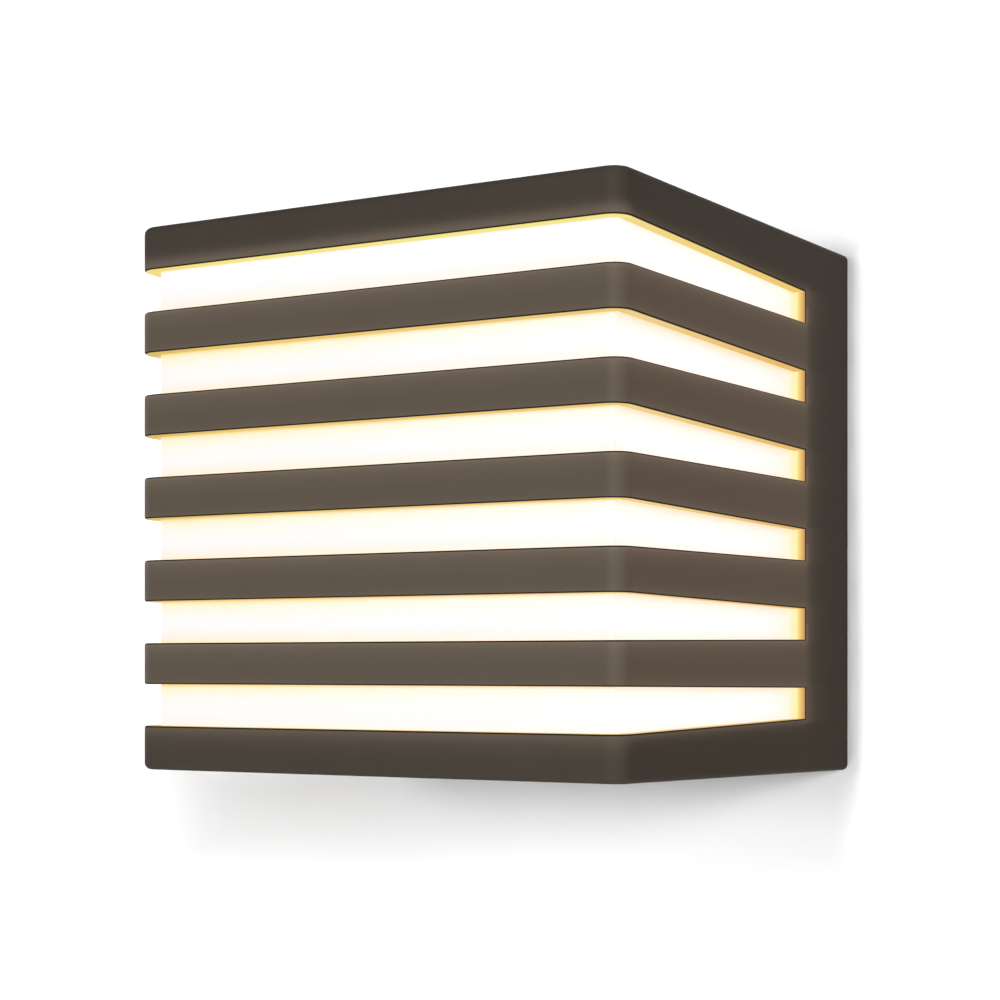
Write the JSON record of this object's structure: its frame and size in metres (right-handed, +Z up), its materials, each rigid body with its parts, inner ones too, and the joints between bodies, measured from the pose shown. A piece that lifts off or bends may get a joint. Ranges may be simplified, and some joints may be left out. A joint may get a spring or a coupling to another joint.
{
  "type": "wall light",
  "caption": "Near-cube outdoor wall light: a dark slatted cover whose slots wrap the front and sides, a lit opal diffuser behind them, and a wall tray with a screw-in lamp.",
  "frame": {"origin": "on the wall plane, behind the middle of the light", "axes": "+X to the right seen from the room, +Y into the wall, +Z up"},
  "size_m": [0.1662, 0.158, 0.1667],
  "materials": {
    "cover_coat": "satin dark bronze powder coat on cast aluminium",
    "opal": "satin opal acrylic, lit from inside",
    "tray_metal": "die-cast aluminium, as cast",
    "foam": "closed-cell foam rubber",
    "seal_rubber": "matt extruded rubber",
    "grommet_rubber": "matt moulded rubber",
    "terminal_plastic": "natural white moulded nylon",
    "brass": "drawn brass",
    "zinc_steel": "bright zinc-plated steel",
    "stainless": "bright stainless steel",
    "nylon": "black nylon",
    "live_sleeve": "brown silicone sleeve",
    "neutral_sleeve": "blue silicone sleeve",
    "earth_sleeve": "green and yellow silicone sleeve",
    "tinned_copper": "tinned copper",
    "porcelain": "white glazed porcelain",
    "phosphor_bronze": "spring bronze strip",
    "nickel": "nickel-plated brass",
    "black_glass": "black vitreous insulator",
    "solder": "dull solder",
    "lamp_white": "white moulded lamp housing",
    "lamp_opal": "satin opal bulb, lit from inside",
    "board_white": "white solder mask on an aluminium board",
    "led_phosphor": "yellow phosphor",
    "board_green": "green solder mask",
    "capacitor_sleeve": "black shrink sleeve"
  },
  "bodies": {
    "base": {"wall_gasket": "foam", "back_plate": "tray_metal", "rim_seal": "seal_rubber", "cable_grommet": "grommet_rubber", "terminal_block": "terminal_plastic", "terminal_inserts": "brass", "terminal_screws": "zinc_steel", "terminal_block_screws": "zinc_steel", "live_lead": "live_sleeve", "neutral_lead": "neutral_sleeve", "earth_lead": "earth_sleeve", "earth_tag": "tinned_copper", "earth_washer": "zinc_steel", "earth_screw": "brass", "lampholder_bracket": "zinc_steel", "bracket_screws": "zinc_steel", "lampholder_body": "porcelain", "lampholder_shell": "nickel", "lampholder_contact": "phosphor_bronze", "lampholder_screws": "zinc_steel"},
    "cover": {"slatted_cover": "cover_coat", "opal_diffuser": "opal", "diffuser_screws": "stainless"},
    "left_washer": {"left_screw_washer": "nylon"},
    "left_screw": {"left_cover_screw": "stainless"},
    "right_washer": {"right_screw_washer": "nylon"},
    "right_screw": {"right_cover_screw": "stainless"},
    "lamp_foot": {"lamp_foot_contact": "solder"},
    "lamp": {"lamp_cap_insulator": "black_glass", "lamp_cap": "nickel", "lamp_housing": "lamp_white", "lamp_globe": "lamp_opal", "led_board": "board_white", "led_chips": "led_phosphor", "driver_board": "board_green", "driver_capacitor": "capacitor_sleeve"}
  },
  "joints": [
    {"name": "cover_pull", "type": "slide", "parent": "base", "child": "cover", "axis": [0, -1, 0], "range_m": [0, 0.165]},
    {"name": "left_screw_travel", "type": "slide", "parent": "base", "child": "left_washer", "axis": [0, 0, -1], "range_m": [0, 0.0084]},
    {"name": "left_screw_turn", "type": "hinge", "parent": "left_washer", "child": "left_screw", "pos_m": [-0.05, -0.012, -0.07804], "axis": [0, 0, -1], "range_deg": [0, 4320]},
    {"name": "right_screw_travel", "type": "slide", "parent": "base", "child": "right_washer", "axis": [0, 0, -1], "range_m": [0, 0.0084]},
    {"name": "right_screw_turn", "type": "hinge", "parent": "right_washer", "child": "right_screw", "pos_m": [0.05, -0.012, -0.07804], "axis": [0, 0, -1], "range_deg": [0, 4320]},
    {"name": "lamp_travel", "type": "slide", "parent": "base", "child": "lamp_foot", "axis": [0, -1, 0], "range_m": [0, 0.01451]},
    {"name": "lamp_turn", "type": "hinge", "parent": "lamp_foot", "child": "lamp", "pos_m": [0, -0.0326, 0], "axis": [0, -1, 0], "range_deg": [0, 1440]}
  ],
  "couplings": [
    {"joint": "left_screw_turn", "follows": "left_screw_travel", "rad_per_m": 8976},
    {"joint": "right_screw_turn", "follows": "right_screw_travel", "rad_per_m": 8976},
    {"joint": "lamp_turn", "follows": "lamp_travel", "rad_per_m": 1731.9}
  ]
}
